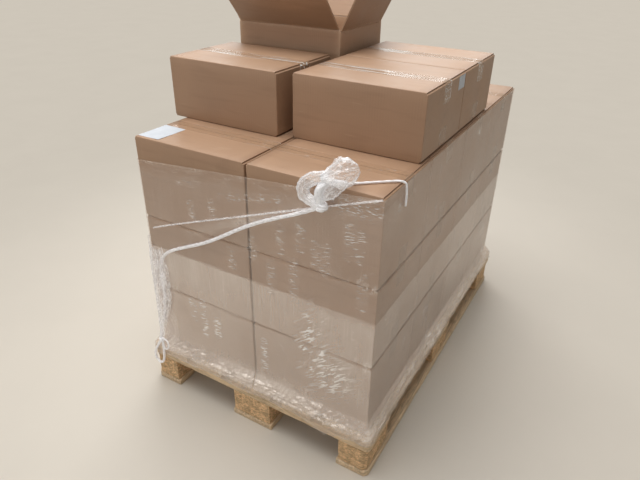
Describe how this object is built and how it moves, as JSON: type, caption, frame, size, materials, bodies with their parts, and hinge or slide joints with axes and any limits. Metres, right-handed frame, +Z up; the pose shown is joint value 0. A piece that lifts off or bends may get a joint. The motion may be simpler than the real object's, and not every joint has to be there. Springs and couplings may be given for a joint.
{
  "type": "shrink wrapped pallet load",
  "caption": "Wooden pallet stacked with closed brown cartons, one open carton on top with folding flaps, loosely wrapped in clear stretch film that is tied in a knot.",
  "frame": {"origin": "on the floor, at the middle of the pallet's underside", "axes": "+Z up; +X to the right across the 800 mm end; +Y along the 1200 mm length, away from the viewer of the wrapped end"},
  "size_m": [0.8573, 1.2145, 1.2189],
  "materials": {
    "pallet_board": "rough sawn softwood, handled and dusty",
    "pressed_block": "pressed wood chips, worn edges",
    "corrugated_board": "plain brown kraft liner, matte",
    "stretch_film": "clear cling film, wrinkled",
    "gathered_film": "clear film pulled together, whitish and glossy",
    "clear_tape": "clear packing tape",
    "label_paper": "plain white paper"
  },
  "bodies": {
    "root": {"deck_board_1": "pallet_board", "deck_board_2": "pallet_board", "deck_board_3": "pallet_board", "deck_board_4": "pallet_board", "deck_board_5": "pallet_board", "stringer_front": "pallet_board", "stringer_middle": "pallet_board", "stringer_back": "pallet_board", "bottom_board_left": "pallet_board", "bottom_board_centre": "pallet_board", "bottom_board_right": "pallet_board", "block_front_left": "pressed_block", "block_middle_left": "pressed_block", "block_back_left": "pressed_block", "block_front_centre": "pressed_block", "block_middle_centre": "pressed_block", "block_back_centre": "pressed_block", "block_front_right": "pressed_block", "block_middle_right": "pressed_block", "block_back_right": "pressed_block", "carton_tier1_row1_left": "corrugated_board", "carton_tier1_row1_right": "corrugated_board", "carton_tier1_row2_left": "corrugated_board", "carton_tier1_row2_right": "corrugated_board", "carton_tier1_row3_left": "corrugated_board", "carton_tier1_row3_right": "corrugated_board", "carton_tier1_row4_left": "corrugated_board", "carton_tier1_row4_right": "corrugated_board", "carton_tier2_row1_left": "corrugated_board", "carton_tier2_row1_right": "corrugated_board", "carton_tier2_row2_left": "corrugated_board", "carton_tier2_row2_right": "corrugated_board", "carton_tier2_row3_left": "corrugated_board", "carton_tier2_row3_right": "corrugated_board", "carton_tier2_row4_left": "corrugated_board", "carton_tier2_row4_right": "corrugated_board", "carton_tier3_row1_left": "corrugated_board", "carton_tier3_row1_right": "corrugated_board", "carton_tier3_row2_left": "corrugated_board", "carton_tier3_row2_right": "corrugated_board", "carton_tier3_row3_left": "corrugated_board", "carton_tier3_row3_right": "corrugated_board", "carton_tier3_row4_left": "corrugated_board", "carton_tier3_row4_right": "corrugated_board", "low_carton_left": "corrugated_board", "low_carton_right_front": "corrugated_board", "low_carton_right_back": "corrugated_board", "open_carton": "corrugated_board", "stretch_film": "stretch_film", "film_strand": "gathered_film", "film_rope": "gathered_film", "film_top_rope": "gathered_film", "film_tail": "gathered_film", "film_knot": "gathered_film", "carton_tape": "clear_tape", "paper_labels": "label_paper"},
    "flap_front": {"flap_front": "corrugated_board"},
    "flap_back": {"flap_back": "corrugated_board"},
    "flap_left": {"flap_left": "corrugated_board"},
    "flap_right": {"flap_right": "corrugated_board"}
  },
  "joints": [
    {"name": "flap_front_crease", "type": "hinge", "parent": "root", "child": "flap_front", "pos_m": [-0.2005, -0.066, 1.09865], "axis": [1, 0, 0], "range_deg": [-131, 67]},
    {"name": "flap_back_crease", "type": "hinge", "parent": "root", "child": "flap_back", "pos_m": [-0.2005, 0.213, 1.09865], "axis": [-1, 0, 0], "range_deg": [-126, 72]},
    {"name": "flap_left_crease", "type": "hinge", "parent": "root", "child": "flap_left", "pos_m": [-0.383, 0.0735, 1.09435], "axis": [0, -1, 0], "range_deg": [-121, 77]},
    {"name": "flap_right_crease", "type": "hinge", "parent": "root", "child": "flap_right", "pos_m": [-0.018, 0.0735, 1.09435], "axis": [0, 1, 0], "range_deg": [-117, 81]}
  ]
}
